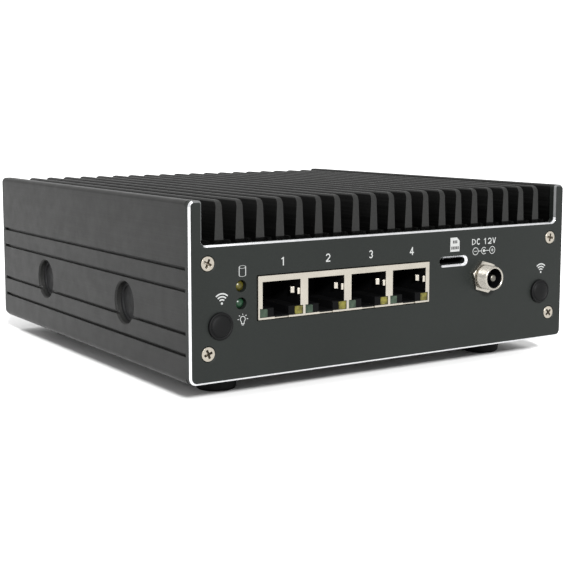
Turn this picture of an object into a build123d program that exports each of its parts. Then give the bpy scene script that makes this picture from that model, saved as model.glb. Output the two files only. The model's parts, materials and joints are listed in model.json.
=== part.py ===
from build123d import *
import os
from math import asin, atan2, cos, degrees, radians, sin

# Fanless network appliance. Millimetres, +Z up. The origin is on the ground, under the middle of the whole
# object; the front panel, with the network ports, faces -Y.
os.makedirs("parts", exist_ok=True)

# Case ------------------------------------------------------------------------------------------------------
CASE_W = 128.0
CASE_D = 130.0
CASE_H = 46.0
FOOT_H = 5.5
JACK_REACH = 4.7
BUTTON_REACH = 1.5
FRONT_Y = (JACK_REACH - CASE_D - BUTTON_REACH) / 2
REAR_Y = FRONT_Y + CASE_D
BASE_Z = FOOT_H
TOP_Z = BASE_Z + CASE_H

# Panels
PANEL_T = 2.1
PANEL_BEVEL = 0.5
EAR_W = 3.75
NOTCH_Z = BASE_Z + 34.85
NOTCH_R = 1.1
PANEL_SCREW_INSET = 5.26
PANEL_SCREW_HEIGHTS = (BASE_Z + 7.6, BASE_Z + 30.3)
PANEL_SCREW_TURNS = (20, 65, 38, 80)
SCREW_HOLE_R = 1.35
SCREW_SINK_R = 2.2

# Extruded heatsink
SINK_FRONT = FRONT_Y + PANEL_T
SINK_L = CASE_D - 2 * PANEL_T
SINK_REAR = SINK_FRONT + SINK_L
WALL_T = 3.5
DECK_TOP = BASE_Z + 34.2
DECK_T = 4.2
DECK_UNDER = DECK_TOP - DECK_T
FIN_COUNT = 19
FIN_PITCH = 6.04
FIN_TOP = TOP_Z - 0.2
FIN_BASE_W = 2.7
FIN_TIP_W = 1.6
FIN_END_R = 2.0
RIB_W = 1.9
RIB_H = 1.5
GROOVE_HEIGHTS = (7.55, 13.0, 23.75, 29.2)
GROOVE_W = 0.9
GROOVE_DEPTH = 0.9
PORT_BOSS_R = 2.6
RAIL_W = 4.9
RAIL_H = 5.4
COVER_T = 2.0
COVER_SCREW_INSET = 6.0
SCREW_PORT_R = 1.25
SIDE_HOLE_R = 5.7
SIDE_HOLE_Z = BASE_Z + 16.3
SIDE_HOLE_Y = (FRONT_Y + 37.0, FRONT_Y + 93.0)
SIDE_PLUG_RECESS = 1.7

# Bottom cover and feet
BRACKET_PITCH = 75.0
BRACKET_HOLE_R = 1.65
FOOT_R = 6.0
FOOT_INSET = 17.0
VENT_L, VENT_W, VENT_PITCH, VENT_COUNT = 22.0, 2.4, 5.0, 7

# Mainboard
BOARD_W = 112.0
BOARD_D = 121.0
BOARD_T = 1.6
BOARD_TOP = BASE_Z + 14.8
BOARD_UNDER = BOARD_TOP - BOARD_T
BOARD_Y = (FRONT_Y + REAR_Y) / 2
PILLAR_XY = [(x, y) for x in (-50.0, 50.0) for y in (FRONT_Y + 31.0, REAR_Y - 31.0)]

# Four network ports in one shielded block
LAN_X = -16.3
LAN_W = 56.1
LAN_BOTTOM = BASE_Z + 14.9
LAN_TOP = BASE_Z + 26.15
LAN_DEPTH = 20.7
LAN_PITCH = 13.97
LAN_XS = [LAN_X + (i - 1.5) * LAN_PITCH for i in range(4)]
SHIELD_T = 0.3
PORT_W = 11.6
PORT_TOP = LAN_TOP - 1.55
PORT_SILL = LAN_BOTTOM + 2.8
PORT_DEPTH = 14.0
LATCH_W = 4.6
PORT_LED_W, PORT_LED_H = 2.4, 2.1
PORT_LED_X = LAN_PITCH / 2 - 0.42 - PORT_LED_W / 2
PORT_LED_Z = LAN_BOTTOM + 0.55 + PORT_LED_H / 2
PORT_ROW_W = 2 * PORT_LED_X + PORT_LED_W + 0.1
PORT_ROW_BOTTOM = LAN_BOTTOM + 0.5
RIM_GAP_W = 4.3
CONTACT_PITCH = 1.02

# Other front features
SIM_X, SIM_Z = 20.8, BASE_Z + 25.6
SIM_SLOT_L, SIM_SLOT_H, SIM_BEVEL = 9.3, 1.8, 0.6
DC_X, DC_Z = 32.25, BASE_Z + 20.4
BARREL_R = 3.5
BARREL_NECK_R = 3.4
BARREL_BORE_R = 3.0
BARREL_LIP_R = 2.8
BARREL_LIP_T = 0.6
DC_BORE_R = 2.75
DC_PIN_R = 1.03
DC_PIN_RECESS = 0.4
DC_BODY_L = 13.0
NUT_ACROSS_FLATS = 8.4
NUT_T = 1.1
LED_X = -49.2
LED_HEIGHTS = {"status_led_yellow": BASE_Z + 24.0, "status_led_green": BASE_Z + 19.6}
LED_R = 1.45
ANTENNA_XS = (-55.4, 54.5)
ANTENNA_Z = BASE_Z + 14.45
ANTENNA_HOLE_R = 3.2
ANTENNA_CAP_R = 3.48

# Rear features
USB_XS = (-24.0, -7.0)
USB_W, USB_H, USB_DEPTH = 13.1, 5.7, 14.0
USB_Z = BOARD_TOP + 0.2 + USB_H / 2
HDMI_X = 15.0
HDMI_W, HDMI_H, HDMI_DEPTH = 15.0, 5.6, 11.0
HDMI_Z = BOARD_TOP + 0.2 + HDMI_H / 2
PORT_PROUD = 0.4
BUTTON_X, BUTTON_Z = 42.0, BASE_Z + 21.0
BUTTON_R = 3.5
BUTTON_TRAVEL = 0.8

# Heat path from the processor to the deck
CPU_XY = (6.0, BOARD_Y + 4.0)
CPU_TOP = BOARD_TOP + 1.6
PAD_T = 0.4
BLOCK_W = 34.0
BLOCK_SCREW_XY = [(CPU_XY[0] + s * 12.5, CPU_XY[1] + s * 12.5) for s in (-1, 1)]


def upright(y):
    """Plane across the case at y: local x is +X, local y is +Z. A negative extrude runs towards +Y."""
    return Plane.XZ.offset(-y)


def facing_front(x, y, z, turn=0):
    """Plane that looks out of the front at a point, turned about that line of sight."""
    return Plane(origin=(x, y, z), x_dir=(cos(radians(turn)), 0, sin(radians(turn))), z_dir=(0, -1, 0))


def facing_rear(x, y, z, turn=0):
    """Plane that looks out of the rear at a point, turned about that line of sight."""
    return Plane(origin=(x, y, z), x_dir=(cos(radians(turn)), 0, sin(radians(turn))), z_dir=(0, 1, 0))


def facing_down(x, y, z, turn=0):
    """Plane that looks at the ground from a point."""
    return Plane(origin=(x, y, z), x_dir=(cos(radians(turn)), sin(radians(turn)), 0), z_dir=(0, 0, -1))


def facing_side(side, x, y, z):
    """Plane that looks out of the left (side -1) or right (side 1) of the case."""
    return Plane(origin=(side * x, y, z), z_dir=(side, 0, 0))


def dome_middle(radius, height, top):
    """Point halfway along the profile of a spherical dome whose crown is on the axis at top."""
    sphere_r = (radius**2 + height**2) / (2 * height)
    half_angle = asin(radius / sphere_r) / 2
    return sphere_r * sin(half_angle), top - sphere_r * (1 - cos(half_angle))


def finish(piece, name):
    """Label a finished piece and write it to its own STEP file."""
    piece.part.label = name
    export_step(piece.part, f"parts/{name}.step")


def box_group(name, size, places, edge=0.0):
    """Equal blocks, each standing with the middle of its underside on a place."""
    with BuildPart() as group:
        with Locations(*places):
            Box(*size, align=(Align.CENTER, Align.CENTER, Align.MIN))
        if edge:
            chamfer(group.edges().filter_by(Axis.Z), edge)
    finish(group, name)


# --- Extruded heatsink: fins, deck, side walls and screw ports in one profile
wall_x = (CASE_W - WALL_T) / 2
fin_h = FIN_TOP - DECK_TOP
fin_angle = degrees(atan2(fin_h, (FIN_BASE_W - FIN_TIP_W) / 2))
rib_angle = 65

with BuildPart() as heatsink_body:
    with BuildSketch(upright(SINK_FRONT)) as profile:
        with Locations((-wall_x, BASE_Z), (wall_x, BASE_Z)):
            Rectangle(WALL_T, CASE_H, align=(Align.CENTER, Align.MIN))
        with Locations((0, DECK_UNDER)):
            Rectangle(CASE_W - WALL_T, DECK_T, align=(Align.CENTER, Align.MIN))
        with Locations((0, DECK_TOP)):
            with GridLocations(FIN_PITCH, 1, FIN_COUNT, 1):
                Trapezoid(FIN_BASE_W, fin_h, fin_angle, align=(Align.CENTER, Align.MIN))
            with GridLocations(FIN_PITCH, 1, FIN_COUNT + 1, 1):
                Trapezoid(RIB_W, RIB_H, rib_angle, align=(Align.CENTER, Align.MIN))
        fillet(profile.vertices().group_by(Axis.Y)[-2], 0.6)
        wall_tops = profile.vertices().group_by(Axis.Y)[-1]
        fillet(wall_tops.filter_by(lambda v: abs(v.X) > wall_x), 1.2)
        fillet(profile.vertices().group_by(Axis.Y)[-1].filter_by(lambda v: abs(v.X) < wall_x), 0.5)
        bottom_corners = profile.vertices().group_by(Axis.Y)[0]
        fillet(bottom_corners.filter_by(lambda v: abs(v.X) > wall_x), 1.6)
        rail_x = CASE_W / 2 - WALL_T - RAIL_W / 2
        with Locations((-rail_x, BASE_Z + COVER_T + 0.1), (rail_x, BASE_Z + COVER_T + 0.1)):
            Rectangle(RAIL_W + 0.4, RAIL_H, align=(Align.CENTER, Align.MIN))
        screw_x = CASE_W / 2 - PANEL_SCREW_INSET
        screw_places = [(side * screw_x, z) for side in (-1, 1) for z in PANEL_SCREW_HEIGHTS]
        with Locations(*screw_places):
            Circle(PORT_BOSS_R)
            Circle(SCREW_PORT_R, mode=Mode.SUBTRACT)
        groove_x = (CASE_W - GROOVE_DEPTH) / 2
        with Locations(*[(side * groove_x, BASE_Z + z) for side in (-1, 1) for z in GROOVE_HEIGHTS]):
            Rectangle(GROOVE_DEPTH, GROOVE_W, mode=Mode.SUBTRACT)
    extrude(amount=-SINK_L)
    fins_w = CASE_W - 2 * WALL_T
    with BuildSketch(Plane.YZ.offset(-fins_w / 2)):
        for end, inward in ((SINK_FRONT, 1), (SINK_REAR, -1)):
            with Locations((end + inward * FIN_END_R / 2, FIN_TOP - FIN_END_R / 2)):
                Rectangle(FIN_END_R, FIN_END_R)
            with Locations((end + inward * FIN_END_R, FIN_TOP - FIN_END_R)):
                Circle(FIN_END_R, mode=Mode.SUBTRACT)
    extrude(amount=fins_w, mode=Mode.SUBTRACT)
    with Locations(*[facing_side(s, CASE_W / 2, y, SIDE_HOLE_Z) for s in (-1, 1) for y in SIDE_HOLE_Y]):
        CounterSinkHole(SIDE_HOLE_R, SIDE_HOLE_R + 0.4, depth=WALL_T + 0.5, counter_sink_angle=90)
    cover_screw_x = CASE_W / 2 - COVER_SCREW_INSET
    cover_screw_y = CASE_D / 2 - 14.0
    cover_screw_xy = [(sx * cover_screw_x, BOARD_Y + sy * cover_screw_y) for sx in (-1, 1) for sy in (-1, 1)]
    with Locations(*[facing_down(x, y, BASE_Z + COVER_T + 0.1) for x, y in cover_screw_xy]):
        Hole(SCREW_PORT_R, depth=3.6)
    with Locations(*[facing_down(x, y, DECK_UNDER) for x, y in PILLAR_XY + BLOCK_SCREW_XY]):
        Hole(1.5, depth=3.4)
finish(heatsink_body, "heatsink_body")


# --- Front and rear panels: flat plates, notched above for the fins
def notched_outline():
    """Outline of a panel: a rectangle with a wide notch that leaves an ear at each side."""
    with BuildSketch(mode=Mode.PRIVATE) as outline:
        with Locations((0, BASE_Z)):
            Rectangle(CASE_W, CASE_H, align=(Align.CENTER, Align.MIN))
        fillet(outline.vertices().group_by(Axis.Y)[0], 2.0)
        with Locations((0, NOTCH_Z)):
            Rectangle(CASE_W - 2 * EAR_W, CASE_H, align=(Align.CENTER, Align.MIN), mode=Mode.SUBTRACT)
        fillet(outline.vertices().filter_by_position(Axis.Y, NOTCH_Z - 0.1, NOTCH_Z + 0.1), NOTCH_R)
        tops = outline.vertices().group_by(Axis.Y)[-1]
        fillet(tops.filter_by(lambda v: abs(v.X) > CASE_W / 2 - 1), 1.5)
        inner_tops = outline.vertices().group_by(Axis.Y)[-1].sort_by(Axis.X)[1:-1]
        fillet(inner_tops.filter_by(lambda v: abs(abs(v.X) - CASE_W / 2 + EAR_W) < 0.1), 0.9)
    return outline.sketch


panel_screw_xz = [(side * screw_x, z) for side in (-1, 1) for z in PANEL_SCREW_HEIGHTS]

with BuildPart() as front_panel:
    with BuildSketch(upright(FRONT_Y)):
        add(notched_outline())
    extrude(amount=-PANEL_T)
    chamfer(front_panel.faces().sort_by(Axis.Y)[0].outer_wire().edges(), PANEL_BEVEL)
    with BuildSketch(upright(FRONT_Y)):
        with Locations((LAN_X, (LAN_BOTTOM + LAN_TOP) / 2)):
            RectangleRounded(LAN_W + 0.5, LAN_TOP - LAN_BOTTOM + 0.5, 0.3)
        with Locations((SIM_X, SIM_Z)):
            SlotOverall(SIM_SLOT_L, SIM_SLOT_H)
        with Locations(*[(LED_X, z) for z in LED_HEIGHTS.values()]):
            Circle(LED_R + 0.1)
        with Locations((DC_X, DC_Z)):
            Circle(BARREL_R + 0.05)
        with Locations(*[(x, ANTENNA_Z) for x in ANTENNA_XS]):
            Circle(ANTENNA_HOLE_R)
    extrude(amount=-PANEL_T, mode=Mode.SUBTRACT)
    sim_rim = front_panel.edges().filter_by(
        lambda e: e.center().Y < FRONT_Y + 0.01
        and abs(e.center().X - SIM_X) < SIM_SLOT_L / 2 + 0.1
        and abs(e.center().Z - SIM_Z) < SIM_SLOT_H
    )
    chamfer(sim_rim, SIM_BEVEL)
    with Locations(*[facing_front(x, FRONT_Y, z) for x, z in panel_screw_xz]):
        CounterSinkHole(SCREW_HOLE_R, SCREW_SINK_R, depth=PANEL_T, counter_sink_angle=90)
finish(front_panel, "front_panel")

with BuildPart() as rear_panel:
    with BuildSketch(upright(REAR_Y)):
        add(notched_outline())
    extrude(amount=PANEL_T)
    chamfer(rear_panel.faces().sort_by(Axis.Y)[-1].outer_wire().edges(), PANEL_BEVEL)
    with BuildSketch(upright(REAR_Y)):
        with Locations(*[(x, USB_Z) for x in USB_XS]):
            RectangleRounded(USB_W + 0.5, USB_H + 0.5, 0.4)
        with Locations((HDMI_X, HDMI_Z)):
            RectangleRounded(HDMI_W + 0.5, HDMI_H + 0.5, 0.4)
        with Locations((BUTTON_X, BUTTON_Z)):
            Circle(BUTTON_R + 0.06)
    extrude(amount=PANEL_T, mode=Mode.SUBTRACT)
    with Locations(*[facing_rear(x, REAR_Y, z) for x, z in panel_screw_xz]):
        CounterSinkHole(SCREW_HOLE_R, SCREW_SINK_R, depth=PANEL_T, counter_sink_angle=90)
finish(rear_panel, "rear_panel")

# --- Bottom cover: a flat plate between the walls, with bracket holes and vents
foot_x = CASE_W / 2 - FOOT_INSET
foot_y = CASE_D / 2 - FOOT_INSET
foot_xy = [(sx * foot_x, BOARD_Y + sy * foot_y) for sx in (-1, 1) for sy in (-1, 1)]
bracket_xy = [(sx * BRACKET_PITCH / 2, BOARD_Y + sy * BRACKET_PITCH / 2) for sx in (-1, 1) for sy in (-1, 1)]

with BuildPart() as bottom_cover:
    with BuildSketch(Plane.XY.offset(BASE_Z)):
        with Locations((0, BOARD_Y)):
            RectangleRounded(CASE_W - 2 * WALL_T - 0.3, SINK_L - 0.3, 1.0)
        with Locations(*bracket_xy):
            Circle(BRACKET_HOLE_R, mode=Mode.SUBTRACT)
        with Locations((0, BOARD_Y - 20), (0, BOARD_Y + 20)):
            with GridLocations(VENT_PITCH, 1, VENT_COUNT, 1):
                SlotOverall(VENT_L, VENT_W, rotation=90, mode=Mode.SUBTRACT)
    extrude(amount=COVER_T)
    with Locations(*[facing_down(x, y, BASE_Z) for x, y in cover_screw_xy]):
        CounterSinkHole(SCREW_HOLE_R, SCREW_SINK_R, depth=COVER_T, counter_sink_angle=90)
finish(bottom_cover, "bottom_cover")

with BuildPart() as one_foot:
    with BuildSketch(Plane.XZ) as foot_profile:
        with BuildLine():
            Polyline((0, 0), (FOOT_R - 0.6, 0), (FOOT_R, FOOT_H), (0, FOOT_H), close=True)
        make_face()
        fillet(foot_profile.vertices().group_by(Axis.Y)[0].sort_by(Axis.X)[-1], 0.8)
    revolve(axis=Axis.Z)

with BuildPart() as rubber_feet:
    with Locations(*[(x, y, 0) for x, y in foot_xy]):
        add(one_foot.part)
finish(rubber_feet, "rubber_feet")


# --- Countersunk cross-recess screws
def countersunk_screw(length, head_r=1.87, shank_r=1.2):
    """Screw along -Z with its flat head at the origin and a tapered cross in it."""
    head_h = head_r - shank_r
    with BuildPart() as screw:
        with BuildSketch(Plane.XZ):
            with BuildLine():
                Polyline((0, 0), (head_r - 0.08, 0), (head_r, -0.08), (shank_r, -0.08 - head_h),
                         (shank_r, -length + 0.4), (shank_r - 0.4, -length), (0, -length), close=True)
            make_face()
        revolve(axis=Axis.Z)
        with BuildSketch(Plane.XY):
            Rectangle(2.4, 0.65)
            Rectangle(0.65, 2.4)
        extrude(amount=-1.1, taper=12, mode=Mode.SUBTRACT)
    return screw.part


def screw_group(name, screw, planes):
    """The same screw driven in at each plane, its head facing out along the plane's normal."""
    with BuildPart() as group:
        with Locations(*planes):
            add(screw)
    finish(group, name)


panel_screw = countersunk_screw(8.0)
cover_screw = countersunk_screw(5.0)
screw_turns = list(zip(panel_screw_xz, PANEL_SCREW_TURNS))
sunk = 0.05
screw_group("front_panel_screws", panel_screw,
            [facing_front(x, FRONT_Y + sunk, z, turn) for (x, z), turn in screw_turns])
screw_group("rear_panel_screws", panel_screw,
            [facing_rear(x, REAR_Y - sunk, z, turn + 30) for (x, z), turn in screw_turns])
screw_group("bottom_cover_screws", cover_screw,
            [facing_down(x, y, BASE_Z + sunk, 25 * i) for i, (x, y) in enumerate(cover_screw_xy)])

# --- Side plugs: shallow snap-in cups, recessed in the round side holes
plug_r = SIDE_HOLE_R - 0.05
with BuildPart() as one_side_plug:
    with BuildSketch(Plane.XZ) as cup_profile:
        with BuildLine():
            Polyline((0, -SIDE_PLUG_RECESS - 0.4), (plug_r - 1.0, -SIDE_PLUG_RECESS - 0.4),
                     (plug_r - 1.0, -SIDE_PLUG_RECESS), (plug_r, -SIDE_PLUG_RECESS),
                     (plug_r, -WALL_T), (plug_r - 0.6, -WALL_T - 0.9),
                     (plug_r - 1.6, -WALL_T - 0.9), (plug_r - 1.6, -SIDE_PLUG_RECESS - 1.6),
                     (0, -SIDE_PLUG_RECESS - 1.6), close=True)
        make_face()
    revolve(axis=Axis.Z)

with BuildPart() as side_plugs:
    with Locations(*[facing_side(s, CASE_W / 2, y, SIDE_HOLE_Z) for s in (-1, 1) for y in SIDE_HOLE_Y]):
        add(one_side_plug.part)
finish(side_plugs, "side_plugs")


# --- Antenna hole plugs: domed rubber caps whose stems pull straight out of the panel
def antenna_plug(name, x):
    stem_r = ANTENNA_HOLE_R - 0.04
    dome_r = ANTENNA_CAP_R - 0.5
    with BuildPart() as plug:
        with BuildSketch(Plane.XZ) as side_view:
            with BuildLine():
                Line((0, -PANEL_T - 1.8), (stem_r - 0.3, -PANEL_T - 1.8))
                Line((stem_r - 0.3, -PANEL_T - 1.8), (stem_r, -PANEL_T - 1.4))
                Line((stem_r, -PANEL_T - 1.4), (stem_r, 0.03))
                Line((stem_r, 0.03), (ANTENNA_CAP_R, 0.03))
                Line((ANTENNA_CAP_R, 0.03), (ANTENNA_CAP_R, 0.5))
                ThreePointArc((ANTENNA_CAP_R, 0.5), (ANTENNA_CAP_R - 0.15, 0.83), (dome_r, 0.95))
                ThreePointArc((dome_r, 0.95), dome_middle(dome_r, 0.3, 1.25), (0, 1.25))
                Line((0, 1.25), (0, -PANEL_T - 1.8))
            make_face()
        revolve(axis=Axis.Z)
    with BuildPart() as placed:
        with Locations(facing_front(x, FRONT_Y, ANTENNA_Z)):
            add(plug.part)
    finish(placed, name)


antenna_plug("antenna_plug_left", ANTENNA_XS[0])
antenna_plug("antenna_plug_right", ANTENNA_XS[1])

# --- Mainboard, its pillars and its screws
with BuildPart() as mainboard:
    with BuildSketch(Plane.XY.offset(BOARD_UNDER)):
        with Locations((0, BOARD_Y)):
            RectangleRounded(BOARD_W, BOARD_D, 1.5)
        with Locations(*PILLAR_XY):
            Circle(1.6, mode=Mode.SUBTRACT)
    extrude(amount=BOARD_T)
finish(mainboard, "mainboard")

with BuildPart() as board_pillars:
    with BuildSketch(Plane.XY.offset(BOARD_TOP)):
        with Locations(*PILLAR_XY):
            RegularPolygon(2.5, 6, major_radius=False)
    extrude(amount=DECK_UNDER - BOARD_TOP)
    with Locations(*[(x, y, DECK_UNDER) for x, y in PILLAR_XY]):
        Cylinder(1.45, 3.0, align=(Align.CENTER, Align.CENTER, Align.MIN))
    with Locations(*[facing_down(x, y, BOARD_TOP) for x, y in PILLAR_XY]):
        Hole(1.25, depth=6.0)
finish(board_pillars, "board_pillars")


def pan_screw(length, head_r, head_h, shank_r):
    """Screw along +Z with a domed head below the origin and a cross in it."""
    with BuildPart() as screw:
        Cylinder(shank_r, length, align=(Align.CENTER, Align.CENTER, Align.MIN))
        Cylinder(head_r, head_h, align=(Align.CENTER, Align.CENTER, Align.MAX))
        fillet(screw.edges().group_by(Axis.Z)[0], head_h * 0.45)
        with BuildSketch(Plane.XY.offset(-head_h)):
            Rectangle(head_r * 1.1, head_r * 0.3)
            Rectangle(head_r * 0.3, head_r * 1.1)
        extrude(amount=head_h * 0.6, mode=Mode.SUBTRACT)
    return screw.part


def upward_screws(name, screw, places):
    with BuildPart() as group:
        with Locations(*places):
            add(screw)
    finish(group, name)


upward_screws("board_screws", pan_screw(6.5, 2.4, 1.6, 1.2), [(x, y, BOARD_UNDER) for x, y in PILLAR_XY])

# --- Processor and its heat path
with BuildPart() as processor:
    with Locations((*CPU_XY, BOARD_TOP)):
        Box(25, 24, 1.1, align=(Align.CENTER, Align.CENTER, Align.MIN))
    with Locations((*CPU_XY, BOARD_TOP + 1.1)):
        Box(13, 10, CPU_TOP - BOARD_TOP - 1.1, align=(Align.CENTER, Align.CENTER, Align.MIN))
finish(processor, "processor")

box_group("thermal_pad", (16, 13, PAD_T), [(*CPU_XY, CPU_TOP)])

block_z = CPU_TOP + PAD_T
with BuildPart() as heat_block:
    with Locations((*CPU_XY, block_z)):
        Box(BLOCK_W, BLOCK_W, DECK_UNDER - block_z, align=(Align.CENTER, Align.CENTER, Align.MIN))
    chamfer(heat_block.edges().filter_by(Axis.Z), 1.0)
    with Locations(*[facing_down(x, y, block_z) for x, y in BLOCK_SCREW_XY]):
        CounterBoreHole(1.6, 3.0, 3.0)
finish(heat_block, "heat_block")

block_screw_l = DECK_UNDER - block_z
upward_screws("heat_block_screws", pan_screw(block_screw_l, 2.8, 2.4, 1.4),
              [(x, y, block_z + 3.0) for x, y in BLOCK_SCREW_XY])


# --- Network port block: moulded housing, folded shield, light pipes and contacts
def port_shapes(latch_bottom):
    """The four port openings: the plug's square mouth and the narrower slot for its latch."""
    for x in LAN_XS:
        with Locations((x, (PORT_SILL + PORT_TOP) / 2)):
            Rectangle(PORT_W, PORT_TOP - PORT_SILL)
        with Locations((x, (latch_bottom + PORT_SILL) / 2)):
            Rectangle(LATCH_W, PORT_SILL - latch_bottom)


def port_led_places(side):
    return [(x + side * PORT_LED_X, PORT_LED_Z) for x in LAN_XS]


lan_mid_z = (LAN_BOTTOM + LAN_TOP) / 2
lan_h = LAN_TOP - LAN_BOTTOM
shell_gap = SHIELD_T + 0.02
with BuildPart() as lan_port_housing:
    with BuildSketch(upright(FRONT_Y)):
        with Locations((LAN_X, lan_mid_z)):
            Rectangle(LAN_W - 2 * shell_gap, lan_h - 2 * shell_gap)
    extrude(amount=-(LAN_DEPTH - shell_gap))
    with BuildSketch(upright(FRONT_Y)):
        port_shapes(LAN_BOTTOM + 0.7)
    extrude(amount=-PORT_DEPTH, mode=Mode.SUBTRACT)
    with BuildSketch(upright(FRONT_Y)):
        with Locations(*port_led_places(-1), *port_led_places(1)):
            Rectangle(PORT_LED_W, PORT_LED_H)
    extrude(amount=-7.0, mode=Mode.SUBTRACT)
finish(lan_port_housing, "lan_port_housing")

with BuildPart() as lan_port_shield:
    with BuildSketch(upright(FRONT_Y - SHIELD_T)):
        with Locations((LAN_X, lan_mid_z)):
            RectangleRounded(LAN_W, lan_h, 0.25)
    extrude(amount=-(LAN_DEPTH + SHIELD_T))
    with BuildSketch(upright(FRONT_Y)):
        with Locations((LAN_X, lan_mid_z)):
            Rectangle(LAN_W - 2 * SHIELD_T, lan_h - 2 * SHIELD_T)
    extrude(amount=-(LAN_DEPTH - SHIELD_T), mode=Mode.SUBTRACT)
    with BuildSketch(upright(FRONT_Y - SHIELD_T)):
        with Locations(*[(x, PORT_SILL) for x in LAN_XS]):
            Rectangle(PORT_W, PORT_TOP - PORT_SILL, align=(Align.CENTER, Align.MIN))
            Rectangle(PORT_ROW_W, PORT_SILL - PORT_ROW_BOTTOM, align=(Align.CENTER, Align.MAX))
            Rectangle(RIM_GAP_W, PORT_SILL - LAN_BOTTOM, align=(Align.CENTER, Align.MAX))
    extrude(amount=-SHIELD_T, mode=Mode.SUBTRACT)
finish(lan_port_shield, "lan_port_shield")

# Sprung tabs of the shield: two bulge into each port from its right-hand wall, one behind the other.
spring_lines = ([(0, 0.05), (-0.55, 0.3), (-0.55, 0.75), (0, 1.0)],
                [(0, 2.6), (-0.85, 3.1), (-0.85, 3.6), (0, 4.6)])
with BuildPart() as lan_port_springs:
    for x in LAN_XS:
        for spring_line in spring_lines:
            with BuildSketch(Plane.XY.offset(PORT_TOP - 4.0)):
                with BuildLine():
                    Polyline(*[(x + PORT_W / 2 + dx, FRONT_Y + dy) for dx, dy in spring_line], close=True)
                make_face()
            extrude(amount=1.6)
finish(lan_port_springs, "lan_port_springs")

for led_name, led_side in (("lan_leds_green", -1), ("lan_leds_yellow", 1)):
    with BuildPart() as port_leds:
        with BuildSketch(upright(FRONT_Y - 0.1)):
            with Locations(*port_led_places(led_side)):
                RectangleRounded(PORT_LED_W - 0.06, PORT_LED_H - 0.06, 0.3)
        extrude(amount=-6.8)
    finish(port_leds, led_name)

contact_line = [(FRONT_Y + 5.5, PORT_TOP - 0.5), (FRONT_Y + 6.7, PORT_TOP - 0.15),
                (FRONT_Y + 12.0, PORT_TOP - 2.2)]
with BuildPart() as lan_contacts:
    for x in LAN_XS:
        for i in range(8):
            with BuildSketch(Plane.YZ.offset(x + (i - 3.5) * CONTACT_PITCH)):
                with BuildLine():
                    Polyline(*contact_line, *[(y, z - 0.3) for y, z in reversed(contact_line)], close=True)
                make_face()
            extrude(amount=0.24, both=True)
finish(lan_contacts, "lan_contacts")

# --- Status lights on a right-angle holder
holder_front = FRONT_Y + PANEL_T + 0.4
with BuildPart() as led_holder:
    with BuildSketch(Plane.XY.offset(BOARD_TOP)):
        with Locations((LED_X, holder_front + 4.5)):
            Rectangle(4.6, 9.0)
    extrude(amount=12.4)
    with BuildSketch(upright(holder_front)):
        with Locations(*[(LED_X, z) for z in LED_HEIGHTS.values()]):
            Circle(LED_R + 0.05)
    extrude(amount=-6.0, mode=Mode.SUBTRACT)
finish(led_holder, "led_holder")

for led_name, led_z in LED_HEIGHTS.items():
    lens_y = FRONT_Y + 0.5
    body_l = holder_front + 5.8 - lens_y
    with BuildPart() as status_led:
        with BuildSketch(Plane.XZ):
            with BuildLine():
                Line((0, -body_l), (LED_R, -body_l))
                Line((LED_R, -body_l), (LED_R, -0.9))
                ThreePointArc((LED_R, -0.9), dome_middle(LED_R, 0.9, 0), (0, 0))
                Line((0, 0), (0, -body_l))
            make_face()
        revolve(axis=Axis.Z)
    with BuildPart() as placed_led:
        with Locations(facing_front(LED_X, lens_y, led_z)):
            add(status_led.part)
    finish(placed_led, led_name)

# --- SIM card reader, raised on a spacer to the height of its slot
sim_y = FRONT_Y + PANEL_T + 0.3
sim_under = SIM_Z - 1.6
box_group("sim_spacer", (11.4, 11.0, sim_under - BOARD_TOP), [(SIM_X, sim_y + 7.5, BOARD_TOP)], edge=0.6)
with BuildPart() as sim_reader:
    with Locations((SIM_X, sim_y + 7.5, sim_under)):
        Box(11.4, 15.0, 2.9, align=(Align.CENTER, Align.CENTER, Align.MIN))
    with BuildSketch(upright(sim_y)):
        with Locations((SIM_X, SIM_Z)):
            Rectangle(9.3, 1.5)
    extrude(amount=-13.4, mode=Mode.SUBTRACT)
finish(sim_reader, "sim_reader")

# --- Power inlet: board-mounted body, threaded barrel through the panel, nut and centre pin
inlet_y = FRONT_Y + PANEL_T
mouth_y = FRONT_Y - JACK_REACH
liner_y = mouth_y + BARREL_LIP_T + 0.02
barrel_rear = inlet_y + 5.0
body_top = DC_Z + 5.2


def dc_circle(y, radius):
    """Circle about the jack's axis on the upright plane at y."""
    with BuildSketch(upright(y), mode=Mode.PRIVATE) as circle:
        with Locations((DC_X, DC_Z)):
            Circle(radius)
    return circle.sketch


with BuildPart() as dc_jack_body:
    with BuildSketch(upright(inlet_y)):
        with Locations((DC_X, BOARD_TOP)):
            Rectangle(9.4, body_top - BOARD_TOP, align=(Align.CENTER, Align.MIN))
    extrude(amount=-DC_BODY_L)
    chamfer(dc_jack_body.edges().filter_by(Axis.Y).group_by(Axis.Z)[-1], 0.8)
    extrude(dc_circle(inlet_y, BARREL_NECK_R + 0.02), amount=-(barrel_rear - inlet_y), mode=Mode.SUBTRACT)
    extrude(dc_circle(liner_y, BARREL_BORE_R - 0.02), amount=-(barrel_rear - liner_y))
    extrude(dc_circle(liner_y, DC_BORE_R), amount=-(barrel_rear + 3.0 - liner_y), mode=Mode.SUBTRACT)
    extrude(dc_circle(inlet_y, DC_PIN_R + 0.02), amount=-DC_BODY_L, mode=Mode.SUBTRACT)
finish(dc_jack_body, "dc_jack_body")

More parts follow.
